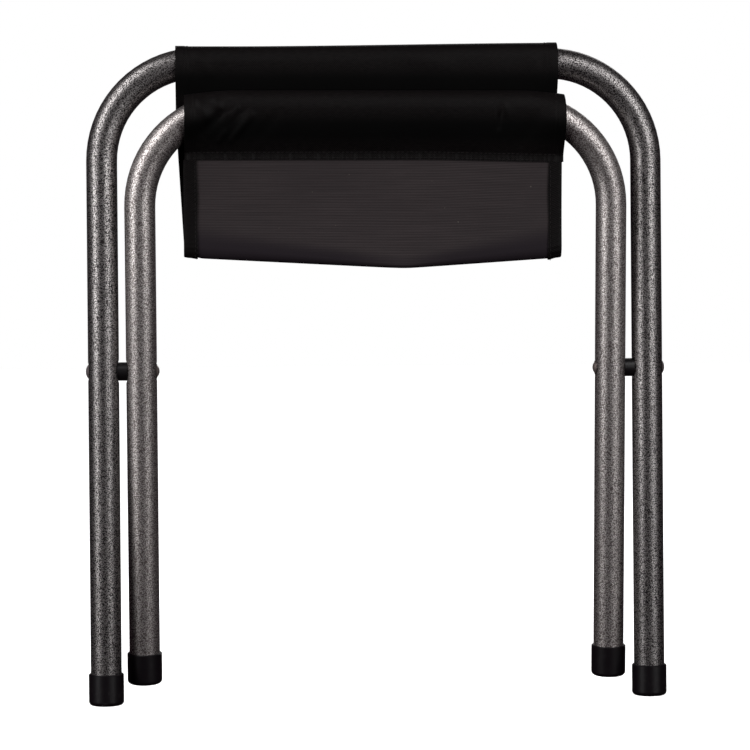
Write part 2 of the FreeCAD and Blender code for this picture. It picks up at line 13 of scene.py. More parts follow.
import bpy
import numpy as np
from mathutils import Matrix, Vector


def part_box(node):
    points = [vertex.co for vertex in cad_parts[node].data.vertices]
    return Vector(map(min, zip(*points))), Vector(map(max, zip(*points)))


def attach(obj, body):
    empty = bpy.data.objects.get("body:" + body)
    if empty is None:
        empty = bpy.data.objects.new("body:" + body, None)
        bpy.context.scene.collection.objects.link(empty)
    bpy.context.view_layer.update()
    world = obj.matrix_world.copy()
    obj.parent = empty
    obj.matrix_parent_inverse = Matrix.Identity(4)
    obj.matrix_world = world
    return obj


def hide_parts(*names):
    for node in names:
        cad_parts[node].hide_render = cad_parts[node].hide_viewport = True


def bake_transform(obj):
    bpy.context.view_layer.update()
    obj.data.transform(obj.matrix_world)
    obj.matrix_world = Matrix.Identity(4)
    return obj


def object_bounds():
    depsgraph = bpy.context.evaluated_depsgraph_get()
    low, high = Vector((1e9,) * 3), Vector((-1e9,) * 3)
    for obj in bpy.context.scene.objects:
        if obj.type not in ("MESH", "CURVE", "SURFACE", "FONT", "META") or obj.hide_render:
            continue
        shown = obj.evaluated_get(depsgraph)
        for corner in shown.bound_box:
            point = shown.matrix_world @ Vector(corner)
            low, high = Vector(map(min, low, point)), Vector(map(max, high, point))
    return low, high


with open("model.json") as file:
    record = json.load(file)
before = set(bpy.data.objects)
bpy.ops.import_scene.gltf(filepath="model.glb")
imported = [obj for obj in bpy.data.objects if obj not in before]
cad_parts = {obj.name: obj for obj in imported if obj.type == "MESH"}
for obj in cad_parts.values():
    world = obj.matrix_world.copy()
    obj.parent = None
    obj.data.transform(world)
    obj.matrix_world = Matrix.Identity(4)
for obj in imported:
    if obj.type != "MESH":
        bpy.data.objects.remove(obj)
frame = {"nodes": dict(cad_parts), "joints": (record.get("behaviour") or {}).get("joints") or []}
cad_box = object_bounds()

MM = 0.001
rng = np.random.default_rng(7)

# Places that the frame gives.
hinges = {joint["name"]: np.array(joint["pos_m"]) for joint in frame["joints"]}
PIVOT = hinges["frame_fold"]
REAR_BAR = hinges["rear_sleeve_turn"]
FRONT_BAR = hinges["front_sleeve_turn"]
CREASE = hinges["seat_crease"]

# Sizes of the cloth and of what it goes round.
TUBE_RADIUS = 11.0 * MM
BEND_RADIUS = 70.0 * MM
CLOTH = 0.7 * MM
LAYER_RADIUS = TUBE_RADIUS + 0.3 * MM + CLOTH / 2
STITCH_DEPTH = 31.8 * MM  # a bar's axis to the first row of stitches
STITCH_PITCH = 4.0 * MM  # the first row to the second
SLEEVE_DEPTH = 37.3 * MM  # a bar's axis to its sleeve's sewn edge
CREASE_RADIUS = 2.5 * MM
THREAD = 0.55 * MM
STITCH_LENGTH = 3.3 * MM  # one stitch to the next
STITCH_SHOWN = 2.7 * MM  # what shows of each
HEM_WIDTH = 9.5 * MM
HEM_TURN = 0.5 * MM  # radius of the hem's turn round the panel's edge
HEM_LIFT = 1.05 * MM  # the panel's middle to the hem's
HEM_THICKNESS = 1.15 * MM
HEM_EDGE_THICKNESS = 0.55 * MM
OXFORD_PITCH = 0.8 * MM
BACK_PITCH = 0.5 * MM
RIB_PITCH = 1.15 * MM
PROUD = 0.05 * MM  # how far a stitch stands off its cloth
END_START = 97 * MM  # from the stool's middle to where a sleeve begins to follow the bar's bend
END_REACH = 40 * MM  # from there to where it has loosened fully
TIGHT_RISE = 0.1 * MM  # how far a tight sleeve's top stands off its bar
TAIL_SIDE = 158.5 * MM  # from the stool's middle outwards, about where tails and washers stop
SLEEVE_ROWS, PANEL_ROWS = 430, 271  # sections along the sleeves and the panel
SEAM_STEPS, BELLY_STEPS, SIDE_STEPS, TOP_STEPS = 9, 26, 6, 13  # on each side of a sleeve's section
HEM_TURN_STEPS, HEM_RUN_STEPS = 9, 16
PANEL_INSET = 0.3 * MM  # the rear sleeve's ends to the panel's, and the hem's edge to the panel's


def smoothstep(share):
    """Rises from 0 to 1 as three times the square less twice the cube."""
    share = np.clip(share, 0, 1)
    return share * share * (3 - 2 * share)


def unit(vectors):
    """Each vector divided by its length."""
    return vectors / np.linalg.norm(vectors, axis=-1, keepdims=True)


# Meshes.


def make_object(name, points, faces, finishes, finish_of_face=None, sharp=50):
    """A mesh object at the origin, smooth except where its faces meet at over sharp degrees."""
    mesh = bpy.data.meshes.new(name)
    mesh.from_pydata(points, [], faces)
    for finish in finishes:
        mesh.materials.append(finish)
    if finish_of_face is not None:
        mesh.polygons.foreach_set("material_index", finish_of_face)
    mesh.shade_smooth()
    mesh.set_sharp_from_angle(angle=math.radians(sharp))
    mesh.update()
    piece = bpy.data.objects.new(name, mesh)
    bpy.context.scene.collection.objects.link(piece)
    return piece


def add_attribute(piece, name, vectors):
    """Keeps a vector for each point of the mesh, for its material to read."""
    attribute = piece.data.attributes.new(name, "FLOAT_VECTOR", "POINT")
    attribute.data.foreach_set("vector", np.ascontiguousarray(vectors, np.float32).ravel())


def grid_normals(middle):
    """The cross product of a grid's differences along its two directions, with a length of 1."""
    return unit(np.cross(np.gradient(middle, axis=0), np.gradient(middle, axis=1)))


def arc_lengths(middle):
    """How far each point of a grid is along its second direction, in metres."""
    steps = np.linalg.norm(np.diff(middle, axis=1), axis=2)
    return np.concatenate([np.zeros((len(middle), 1)), np.cumsum(steps, axis=1)], axis=1)


def cloth_piece(name, middle, finishes, thickness=CLOTH, raised=0.0, painted_shade=0.0, from_last=False):
    """A closed shell of cloth about a grid of middle points.

    Its outer face is the middle points moved half the thickness, and what is raised, along the
    grid's normals. Its inner face is them moved half the thickness the other way, and a rim joins
    the two all round. Each point keeps its place on the flat cloth for the finishes to read: how
    far across it is, how far along from the first or the last edge, and its painted shade from 0
    to 1, which darkens its colour where shade falls.
    """
    rows, columns = middle.shape[:2]
    normals = grid_normals(middle)
    half = np.broadcast_to(thickness, (rows, columns))[..., None] / 2
    raised = np.broadcast_to(raised, (rows, columns))[..., None]
    sides = [middle + normals * (half + raised), middle - normals * half]
    points = np.concatenate(sides).reshape(-1, 3)
    index = np.arange(rows * columns).reshape(rows, columns)
    count = index.size

    def quads(a, b, c, d):
        return np.stack([a, b, c, d], axis=-1).reshape(-1, 4)

    outer = quads(index[:-1, :-1], index[1:, :-1], index[1:, 1:], index[:-1, 1:])
    around = np.concatenate([index[:-1, 0], index[-1, :-1], index[:0:-1, -1], index[0, :0:-1]])
    after = np.roll(around, -1)
    rim = quads(after, around, around + count, after + count)
    faces = np.concatenate([outer, outer[:, ::-1] + count, rim])
    which = np.repeat([0, 1, 0], [len(outer), len(outer), len(rim)])
    piece = make_object(name, points, faces, finishes, which)
    along = arc_lengths(middle)
    if from_last:
        along = along[:, -1:] - along
    flat = np.stack([middle[..., 0], along, np.broadcast_to(painted_shade, (rows, columns))], axis=-1)
    add_attribute(piece, "flat_cloth", np.concatenate([flat.reshape(-1, 3)] * 2))
    return piece


def stitches(name, centres, along, out):
    """A row of single stitches, each a short arched thread that dips into the cloth at both ends.

    A stitch's middle line is a parabola: its share along runs from -1 to 1, and its height is a
    thread's radius times 1 less the share squared, less a little for the ends to sink in. Its
    radius follows the square root of 1 less the share's fourth power.
    """
    sides, shares = 6, np.array([-0.9, -0.5, 0.0, 0.5, 0.9])
    length = STITCH_SHOWN
    sunk, end_sunk = 0.1 * THREAD, 0.3 * THREAD
    across = unit(np.cross(out, along))
    count = len(centres)
    radius = THREAD / 2 * np.sqrt(1 - shares**4)
    height = THREAD / 2 * (1 - shares**2) - sunk
    turn = np.arange(sides) * 2 * math.pi / sides
    line = (
        centres[:, None]
        + along[:, None] * (shares * length / 2)[None, :, None]
        + out[:, None] * height[None, :, None]
    )
    ring = (
        across[:, None, None] * (radius[:, None] * np.cos(turn))[None, :, :, None]
        + out[:, None, None] * (radius[:, None] * np.sin(turn))[None, :, :, None]
    )
    body = (line[:, :, None] + ring).reshape(count, -1, 3)
    poles = np.stack([centres - along * length / 2, centres + along * length / 2], axis=1)
    poles = poles - out[:, None] * end_sunk
    points = np.concatenate([body, poles], axis=1)
    size = points.shape[1]
    index = np.arange(len(shares) * sides).reshape(len(shares), sides)
    after = np.roll(index, -1, axis=1)
    quads = np.stack([index[:-1], index[1:], after[1:], after[:-1]], axis=-1).reshape(-1, 4)
    first = np.stack([np.full(sides, size - 2), index[0], after[0]], axis=-1)
    last = np.stack([np.full(sides, size - 1), after[-1], index[-1]], axis=-1)
    offsets = (np.arange(count) * size)[:, None, None]
    faces = (quads[None] + offsets).reshape(-1, 4).tolist()
    faces += (np.concatenate([first, last])[None] + offsets).reshape(-1, 3).tolist()
    return make_object(name, points.reshape(-1, 3), faces, [BLACK_THREAD], sharp=80)


# Finishes: shader maths as Python expressions.


class Value:
    """A node's socket that Python arithmetic works on. Each operation adds a Math node."""

    def __init__(self, finish, socket):
        self.finish = finish
        self.socket = socket

    def maths(self, operation, first, second):
        """A Math node's result from two values or numbers."""
        return self.finish.node("ShaderNodeMath", {"operation": operation}, {0: first, 1: second})

    def __add__(self, other):
        return self.maths("ADD", self, other)

    __radd__ = __add__

    def __sub__(self, other):
        return self.maths("SUBTRACT", self, other)

    def __rsub__(self, other):
        return self.maths("SUBTRACT", other, self)

    def __mul__(self, other):
        return self.maths("MULTIPLY", self, other)

    __rmul__ = __mul__


class Finish:
    """One material's nodes, and the one way that settings, numbers and links reach them."""

    def __init__(self, name):
        self.material = bpy.data.materials.new(name)
        self.material.use_nodes = True
        self.tree = self.material.node_tree
        self.tree.nodes.clear()

    def node(self, kind, settings=None, inputs=None, output=0):
        """Adds a node. Its settings are set first, and then each input gets its number or link."""
        node = self.tree.nodes.new(kind)
        for key, value in (settings or {}).items():
            if key == "stops":
                while len(node.color_ramp.elements) < len(value):
                    node.color_ramp.elements.new(1.0)
                for element, (place, grey) in zip(node.color_ramp.elements, value):
                    element.position = place
                    element.color = (grey, grey, grey, 1.0)
            else:
                setattr(node, key, value)
        for key, value in (inputs or {}).items():
            if isinstance(value, Value):
                self.tree.links.new(value.socket, node.inputs[key])
            else:
                node.inputs[key].default_value = value
        return Value(self, node.outputs[output])

    def place(self):
        """A point's place in the stool."""
        return self.node("ShaderNodeTexCoord", output="Object")

    def flat_cloth(self):
        """A point's place on its flat cloth, and its painted shade as Z."""
        return self.node("ShaderNodeAttribute", {"attribute_name": "flat_cloth"}, output="Vector")

    def part(self, vector, letter):
        """A vector's X, Y or Z."""
        return self.node("ShaderNodeSeparateXYZ", None, {0: vector}, letter)

    def sine(self, value):
        """The sine of a value in radians."""
        return self.node("ShaderNodeMath", {"operation": "SINE"}, {0: value})

    def absolute(self, value):
        """A value without its sign."""
        return self.node("ShaderNodeMath", {"operation": "ABSOLUTE"}, {0: value})

    def between(self, value, low, high, at_low, at_high):
        """at_low up to the value low, at_high from high on, and a straight line between them."""
        inputs = {0: value, 1: low, 2: high, 3: at_low, 4: at_high}
        return self.node("ShaderNodeMapRange", None, inputs)

    def noise(self, place, scale, detail=2.0, roughness=0.5):
        """Fractal noise from 0 to 1, with scale in bumps to the metre."""
        sizes = {"Vector": place, "Scale": scale, "Detail": detail, "Roughness": roughness}
        return self.node("ShaderNodeTexNoise", None, sizes, "Fac")

    def ramp(self, value, *stops):
        """A shade that goes through (value, shade) stops."""
        return self.node("ShaderNodeValToRGB", {"stops": stops}, {"Fac": value}, "Color")

    def mix(self, share, first, second):
        """A colour between two colours."""
        inputs = {0: share, 6: first, 7: second}
        return self.node("ShaderNodeMix", {"data_type": "RGBA"}, inputs, 2)

    def stretched(self, place, x, y, z):
        """Coordinates multiplied by x, y and z."""
        inputs = {0: place, 1: (x, y, z)}
        return self.node("ShaderNodeVectorMath", {"operation": "MULTIPLY"}, inputs)

    def bump(self, height, strength, distance):
        """A normal from a height between 0 and 1 that stands for the distance, in metres."""
        inputs = {"Height": height, "Strength": strength, "Distance": distance}
        return self.node("ShaderNodeBump", None, inputs)

    def done(self, sockets):
        """Joins the shader to the output with these sockets set, and gives the material."""
        shader = self.node("ShaderNodeBsdfPrincipled", None, sockets)
        end = self.tree.nodes.new("ShaderNodeOutputMaterial")
        self.tree.links.new(shader.socket, end.inputs["Surface"])
        return self.material


def shade(red, green=None, blue=None):
    """An opaque colour. One number makes a grey."""
    return (red, red if green is None else green, red if blue is None else blue, 1.0)


def hammertone(name, dark, bright, roughness):
    """Silver-grey hammered enamel: bright dimples with dark edges, smears and dull rub marks.

    A ramp turns the sum of a cell pattern and a finer noise into the dimples' bright middles and
    dark edges.
    """
    finish = Finish(name)
    place = finish.place()
    cells = finish.node(
        "ShaderNodeTexVoronoi",
        {"feature": "SMOOTH_F1"},
        {"Vector": place, "Scale": 1250.0, "Smoothness": 0.4, "Randomness": 0.9},
        "Distance",
    )
    grain = finish.noise(place, 1700.0, 2.0, 0.5)
    speckle = finish.ramp(cells * 0.75 + grain * 0.45, (0.4, 1.0), (0.68, 0.0))
    lengthways = finish.stretched(place, 1.0, 1.0, 0.35)
    smear = finish.ramp(finish.noise(lengthways, 45.0, 4.0, 0.6), (0.36, 0.0), (0.7, 1.0))
    crossways = finish.stretched(place, 1.0, 1.0, 3.0)
    rubbed = finish.ramp(finish.noise(crossways, 28.0, 5.0, 0.75), (0.66, 0.0), (0.74, 1.0))
    colour = finish.mix(speckle, dark, bright)
    colour = finish.mix(smear * 0.3, colour, shade(0.2, 0.185, 0.185))
    colour = finish.mix(rubbed * 0.5, colour, shade(0.05, 0.045, 0.045))
    return finish.done(
        {
            "Base Color": colour,
            "Metallic": 0.93,
            "Roughness": roughness + 0.1 * (1 - speckle) + 0.12 * rubbed + 0.05 * smear,
            "Normal": finish.bump(speckle, 0.4, 0.08 * MM),
            "Coat Weight": 0.06,
            "Coat Roughness": 0.2,
        }
    )


def moulded_rubber():
    """Satin black rubber with a fine grain and grey scuffs near the soles."""
    finish = Finish("moulded_rubber")
    place = finish.place()
    height = finish.part(place, "Z")
    grain = finish.noise(place, 2600.0, 2.0)
    scuff = finish.ramp(finish.noise(place, 240.0, 5.0, 0.7), (0.55, 0.0), (0.75, 1.0))
    low = finish.between(height, 0.0, 0.016, 1.0, 0.15)
    worn = scuff * low
    black, grey = shade(0.0055, 0.0038, 0.0053), shade(0.035, 0.029, 0.032)
    return finish.done(
        {
            "Base Color": finish.mix(worn, black, grey),
            "Roughness": 0.3 + 0.1 * grain + 0.3 * worn,
            "Normal": finish.bump(grain + 0.6 * scuff, 0.35, 0.07 * MM),
            "Specular IOR Level": 0.4,
        }
    )


def dark_plate(name, tone, tarnish, inner_side):
    """Dark plated steel. Within inner_side of the middle of the stool it is tarnished brown."""
    finish = Finish(name)
    place = finish.place()
    x = finish.part(place, "X")
    reach = finish.absolute(x)
    inner = finish.between(reach, inner_side, inner_side + MM, 1.0, 0.0)
    mottle = finish.noise(place, 700.0, 4.0, 0.6)
    patch = finish.ramp(mottle, (0.35, 0.0), (0.65, 1.0))
    colour = finish.mix(inner * (0.45 + 0.55 * patch), tone, tarnish)
    return finish.done(
        {
            "Base Color": finish.mix(patch * 0.4, colour, shade(0.02, 0.018, 0.018)),
            "Metallic": 0.7,
            "Roughness": 0.34 + 0.22 * patch,
            "Normal": finish.bump(mottle, 0.3, 0.08 * MM),
        }
    )


def moulded_plastic():
    """Black moulded plastic with a faint grain."""
    finish = Finish("moulded_plastic")
    place = finish.place()
    grain = finish.noise(place, 1800.0, 3.0)
    black, grey = shade(0.0035, 0.003, 0.0035), shade(0.009, 0.008, 0.009)
    return finish.done(
        {
            "Base Color": finish.mix(grain, black, grey),
            "Roughness": 0.3 + 0.12 * grain,
            "Normal": finish.bump(grain, 0.3, 0.05 * MM),
        }
    )


def woven(finish, flat, pitch):
    """A plain weave's height, from 0 to 1: warp and weft threads pass over each other in turn.

    It is half of 1 plus the product of a sine across the cloth and a sine along it, and both change
    sign once in each thread's pitch.
    """
    x = finish.part(flat, "X")
    y = finish.part(flat, "Y")
    turn = math.pi / pitch
    across = finish.sine(x * turn)
    down = finish.sine(y * turn)
    return 0.5 + 0.5 * across * down


def oxford_cloth():
    """Black Oxford cloth: a fine uneven weave with specks of lint, near black where painted shade
    is laid on it.
    """
    finish = Finish("oxford_cloth")
    flat = finish.flat_cloth()
    place = finish.place()
    weave = woven(finish, flat, OXFORD_PITCH)
    slub = finish.noise(finish.stretched(flat, 0.25, 1.0, 0.0), 900.0, 3.0, 0.6)
    cloudy = finish.noise(place, 26.0, 3.0, 0.55)
    # The flat cloth's Z: how much painted shade a point has.
    painted_band_shade = finish.part(flat, "Z")
    lint = finish.ramp(finish.noise(flat, 620.0, 1.0), (0.8, 0.0), (0.83, 1.0))
    tone = finish.ramp(0.6 * weave + 0.4 * slub, (0.42, 0.0), (0.62, 1.0))
    colour = finish.mix(tone, shade(0.0001), shade(0.0125, 0.01, 0.0102))
    colour = finish.mix(0.3 * cloudy, colour, shade(0.0024, 0.0018, 0.002))
    colour = finish.mix(lint * 0.5, colour, shade(0.03, 0.027, 0.026))
    # Painted shade: near black in the band below each bar and in the band above the panel's fold.
    colour = finish.mix(0.93 * painted_band_shade, colour, shade(0.0003))
    return finish.done(
        {
            "Base Color": colour,
            "Roughness": 0.46 + 0.12 * slub + 0.2 * painted_band_shade,
            "Specular IOR Level": 0.1,
            "Normal": finish.bump(0.7 * weave + 0.3 * slub, 0.7, 0.16 * MM),
        }
    )


def coated_back():
    """The cloth's coated underside: grey-brown with fine ribs, and darkened by painted shade above
    the fold.
    """
    finish = Finish("coated_back")
    flat = finish.flat_cloth()
    place = finish.place()
    # The flat cloth's Z: painted shade in the band above the panel's fold.
    folded = finish.part(flat, "Z")
    along = finish.part(flat, "Y")
    waver = finish.noise(finish.stretched(flat, 0.25, 1.0, 0.0), 30.0, 2.0)
    rib = finish.sine(along * (2 * math.pi / RIB_PITCH) + waver * 3.0)
    streak = finish.noise(finish.stretched(flat, 0.02, 1.0, 0.0), 900.0, 3.0, 0.6)
    cloudy = finish.noise(place, 20.0, 4.0, 0.6)
    weave = woven(finish, flat, BACK_PITCH)
    lint = finish.ramp(finish.noise(flat, 420.0, 0.0), (0.855, 0.0), (0.88, 1.0))
    ribbed = 0.5 + 0.42 * rib + 1.1 * (streak - 0.5)
    colour = finish.mix(ribbed, shade(0.02, 0.0152, 0.0162), shade(0.061, 0.0485, 0.0507))
    dull = finish.ramp(cloudy, (0.35, 0.0), (0.7, 1.0)) * 0.45
    colour = finish.mix(dull, colour, shade(0.028, 0.0222, 0.0242))
    colour = finish.mix(lint * 0.6, colour, shade(0.13, 0.115, 0.1))
    # Painted shade: darker in the band above the fold, where the cloth turns away from the light.
    colour = finish.mix(folded, colour, shade(0.0145, 0.0096, 0.0138))
    return finish.done(
        {
            "Base Color": colour,
            "Roughness": 0.62 + 0.1 * streak,
            "Specular IOR Level": 0.22,
            "Normal": finish.bump(0.6 * ribbed + 0.4 * weave, 0.35, 0.09 * MM),
        }
    )


def polyester_thread():
    """Black twisted polyester thread."""
    finish = Finish("polyester_thread")
    place = finish.place()
    twist = finish.noise(place, 3200.0, 1.0)
    return finish.done(
        {
            "Base Color": finish.mix(twist, shade(0.005), shade(0.026, 0.022, 0.0225)),
            "Roughness": 0.6 + 0.15 * twist,
            "Specular IOR Level": 0.15,
            "Normal": finish.bump(twist, 0.4, 0.08 * MM),
        }
    )


BLACK_CLOTH = oxford_cloth()
GREY_BACK = coated_back()
BLACK_THREAD = polyester_thread()


def refinish_frame():
    """Gives the frame's own pieces their finishes."""
    # The inner frame's enamel is lighter and less contrasty than the outer's: partly its own tone,
    # and partly painted light that makes up for the outer tube shading the inner one from the key
    # light.
    outer_dark, outer_bright = shade(0.02, 0.016, 0.017), shade(0.66, 0.63, 0.62)
    inner_dark, inner_bright = shade(0.18, 0.153, 0.15), shade(1.0, 0.95, 0.925)
    rivet_tone, rivet_tarnish = shade(0.42, 0.36, 0.37), shade(0.4, 0.33, 0.3)
    washer_tone, washer_tarnish = shade(0.2, 0.175, 0.18), shade(0.22, 0.18, 0.17)
    finishes = {
        "outer_frame_tube": hammertone("outer_enamel", outer_dark, outer_bright, 0.31),
        "inner_frame_tube": hammertone("inner_enamel", inner_dark, inner_bright, 0.36),
        "foot_cap": moulded_rubber(),
        "pivot_rivet": dark_plate("plated_rivet", rivet_tone, rivet_tarnish, TAIL_SIDE),
        "tail_washer": dark_plate("plated_washer", washer_tone, washer_tarnish, TAIL_SIDE),
        "pivot_spacer": moulded_plastic(),
    }
    for name, node in frame["nodes"].items():
        for ending, finish in finishes.items():
            if name.endswith(ending):
                node.data.materials.clear()
                node.data.materials.append(finish)


refinish_frame()

# The seat. Each half hangs from its bar towards its own side of the crease.


class Half:
    """One half of the seat: its bar, its bodies, and the directions down the cloth and across it.

    Down goes from the bar to the crease, and across is down turned by a right angle about x.
    crease_side is 1 for the half that is behind the crease and -1 for the half in front of it.
    half_width is from the stool's middle to the middle of its frame's leg.
    """

    def __init__(self, name, bar, crease_side, upper_body, lower_body, half_width):
        self.name = name
        self.bar = bar
        self.crease = CREASE + np.array([0.0, crease_side * CREASE_RADIUS, 0.0])
        self.down = unit(self.crease - self.bar)
        self.across = np.array([0.0, -self.down[2], self.down[1]])
        self.upper_body = upper_body
        self.lower_body = lower_body
        self.bend_start = half_width - BEND_RADIUS
        low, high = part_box(f"{name}_sleeve")
        self.low, self.high = low.x, high.x

    def point(self, x, across, depth):
        """A place in the stool: x, so far across the cloth and so far below the bar's axis."""
        return (
            np.stack(np.broadcast_arrays(x, 0 * depth, 0 * across), axis=-1) * [1.0, 0.0, 0.0]
            + self.bar
            + across[..., None] * self.across
            + depth[..., None] * self.down
        )

    def bar_drop(self, x):
        """How far the bar's centre line has dropped at x: a circle's height, from its bend on."""
        past = np.maximum(0, np.abs(x) - self.bend_start)
        return BEND_RADIUS - np.sqrt(BEND_RADIUS**2 - past**2)


OUTER_HALF_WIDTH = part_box("outer_frame_tube")[1].x - TUBE_RADIUS
INNER_HALF_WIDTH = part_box("inner_frame_tube")[1].x - TUBE_RADIUS
REAR = Half("rear", REAR_BAR, 1, "outer_frame", "rear_seat", OUTER_HALF_WIDTH)
FRONT = Half("front", FRONT_BAR, -1, "inner_frame", "front_sleeve", INNER_HALF_WIDTH)


def ridge(x, depth, start, end, width, height):
    """A soft ridge, or a crease where height is negative, from one (x, depth) to another.

    Its height falls off from the line as a bell curve: e to the minus square of the distance over
    the width.
    """
    start, end = np.array(start) * MM, np.array(end) * MM
    run = end - start
    share = np.clip(((x - start[0]) * run[0] + (depth - start[1]) * run[1]) / (run @ run), 0, 1)
    away = np.hypot(x - start[0] - share * run[0], depth - start[1] - share * run[1])
    fade = 0.35 + 0.65 * np.sin(math.pi * (0.15 + 0.7 * share))
    return height * MM * np.exp(-((away / (width * MM)) ** 2)) * fade


def unevenness(x, depth, amount, seeds):
    """Handled cloth's slight waves: the mean of sines at different angles and lengths."""
    total = 0.0
    for phase, angle, length in seeds:
        reach = x * math.cos(angle) + depth * math.sin(angle)
        total = total + np.sin(phase + reach * 2 * math.pi / length)
    return amount * total / len(seeds)


def wave_seeds(count, shortest, longest):
    """Phases, angles and lengths for unevenness."""
    about_a_turn, steepest = 6.28, 0.7
    phases = rng.uniform(0, about_a_turn, count)
    angles = rng.uniform(-steepest, steepest, count)
    return list(zip(phases, angles, rng.uniform(shortest, longest, count)))


def smoothed(values, times):
    """Repeats a mean of each value and its neighbours along the second axis, with the ends held."""
    for _ in range(times):
        values = values.copy()
        values[:, 1:-1] = 0.25 * values[:, :-2] + 0.5 * values[:, 1:-1] + 0.25 * values[:, 2:]
    return values


def sleeve_loop(x, rise, sag):
    """A sleeve's section at each x, as distances across and depths below the bar's axis.

    From the sewn edge it goes up the seam, swells out to the tube's radius by the time it is the
    sag below the bar, goes up a straight side to a half circle that stands the rise above it, and
    comes down the other side the same way. The swell is 1 less a power of the share that is left,
    so it is steepest at the seam.
    """
    radius, tip, swell = LAYER_RADIUS, CLOTH / 2, 1.6
    one = np.ones((len(x), 1))
    sag, rise = sag[:, None], rise[:, None]

    def run(count):
        return (np.arange(count) / count)[None]

    seam = run(SEAM_STEPS)
    belly = run(BELLY_STEPS)
    side = run(SIDE_STEPS)
    quarter = run(TOP_STEPS) * math.pi / 2
    across = np.concatenate(
        [
            tip + 0 * seam * one,
            (tip + (radius - tip) * (1 - (1 - belly) ** swell)) * one,
            radius + 0 * side * one,
            radius * np.cos(quarter) * one,
        ],
        axis=1,
    )
    depth = np.concatenate(
        [
            (SLEEVE_DEPTH - (SLEEVE_DEPTH - STITCH_DEPTH) * seam) * one,
            STITCH_DEPTH + (sag - STITCH_DEPTH) * belly,
            sag - (sag + rise) * side,
            -rise - radius * np.sin(quarter),
        ],
        axis=1,
    )
    top = -rise - radius
    across = np.concatenate([-across, 0 * one, across[:, ::-1]], axis=1)
    depth = np.concatenate([depth, top, depth[:, ::-1]], axis=1)
    return smoothed(across, 5), smoothed(depth, 5)


def seam_pucker(x, depth):
    """How stitches draw a seam in and out: a sine along its sewn band, one wave to a stitch."""
    height, start, fade = 0.3 * MM, 26 * MM, 5 * MM
    band = smoothstep((depth - start) / fade)
    return height * band * np.sin(x * 2 * math.pi / STITCH_LENGTH)


def end_hem(x, half, width):
    """The sleeve's folded ends: a raised band of the given width, with a bell curve's groove."""
    inset = np.minimum(x - half.low, half.high - x)
    height, edge, groove_inset, groove_width = 0.3 * MM, 0.9 * MM, 1.2 * MM, 0.45 * MM
    band = height * (1 - smoothstep((inset - width) / edge))
    return band - height * np.exp(-(((inset - width + groove_inset) / groove_width) ** 2))


def build_sleeve(half, rise_at, drop_at, *, looseness, flare, hem, marks):
    """A bar's sleeve: one layer of cloth whose two sewn edges lie face to face.

    It is sleeve_loop carried along x. Its lower part hangs by drop_at, in proportion to the depth.
    It then moves along its normals by the sum of waves, marks and the seam's pucker, and its seen
    side moves out by the flare at both ends, as a bell curve over the depth. The waves and marks go
    no deeper than the slack, which is how far the cloth stands off the tube. A band of painted
    shade below the bar makes the cloth darkest there.
    """
    x = np.linspace(half.low, half.high, SLEEVE_ROWS)
    least_sag, follow = 0.4 * MM, 1.2  # the bend's drop counts a little more than once
    sag = least_sag + follow * half.bar_drop(x) + looseness
    across, depth = sleeve_loop(x, rise_at(x), sag)
    dropped = drop_at(x)[:, None] * np.clip(depth / STITCH_DEPTH, 0, 1)
    wide = np.broadcast_to(x[:, None], depth.shape)
    ends = smoothstep((np.abs(wide) - END_START) / END_REACH) ** 2
    out = half.point(wide, across, depth + dropped)
    normals = grid_normals(out)
    # The cloth is free to move except at its seam and over the top of the bar.
    loose = smoothstep((STITCH_DEPTH - depth) / (6 * MM)) * smoothstep((depth + 13 * MM) / (8 * MM))
    # Marks and flare are on its front side only.
    seen = smoothstep(-across / (3 * MM))
    wave_height = 0.35 * MM
    move = unevenness(wide, depth, wave_height, wave_seeds(7, 25 * MM, 90 * MM)) * loose
    for mark in marks:
        move = move + ridge(wide, depth, *mark) * seen * loose
    uneven_length = 9.1 * MM
    uneven = 1 + np.sin(wide * 2 * math.pi / uneven_length)
    move = move + np.maximum(0, seam_pucker(wide, depth)) * uneven
    swell = flare * ends * seen * np.exp(-(((depth - 8 * MM) / (11 * MM)) ** 2))
    slack = np.hypot(across - swell, depth - half.bar_drop(wide)) - (TUBE_RADIUS + 0.6 * CLOTH)
    middle = out + normals * np.maximum(move, -np.maximum(slack, 0))[..., None]
    middle = middle - swell[..., None] * half.across
    raised = np.broadcast_to(end_hem(wide, half, hem), depth.shape)
    # Painted shade: a dark band below the bar, where the cloth turns down away from the light.
    painted_band_shade = smoothstep((depth - 3 * MM) / (10 * MM))
    painted_band_shade = painted_band_shade * (1 - smoothstep((depth - 19 * MM) / (9 * MM)))
    name, finishes = f"{half.name}_sleeve_cloth", [BLACK_CLOTH, GREY_BACK]
    piece = cloth_piece(name, middle, finishes, raised=raised, painted_shade=painted_band_shade)
    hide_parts(f"{half.name}_sleeve")
    above = half.bar - 12 * MM * half.down
    below = half.bar + 31 * MM * half.down
    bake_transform(piece)
    return piece, x, middle, float(arc_lengths(middle).mean(axis=0).max())


def rear_rise(x):
    """The rear sleeve is tight on the bar at its left end and rises smoothly to its right end."""
    most, start = 3.0 * MM, 0.1
    share = (x - REAR.low) / (REAR.high - REAR.low)
    return TIGHT_RISE + most * smoothstep(share - start)


def front_rise(x):
    """The front sleeve's top comes down over both bends, as the square of the share along them."""
    most = 3.6 * MM
    return TIGHT_RISE - most * np.clip((np.abs(x) - END_START) / END_REACH, 0, 1) ** 2


def seam_drop(x):
    """How far the front seam hangs below straight: most at its right end, by a smoothstep."""
    most, start, reach = 2.0 * MM, 25 * MM, 110 * MM
    return most * smoothstep((x - start) / reach)


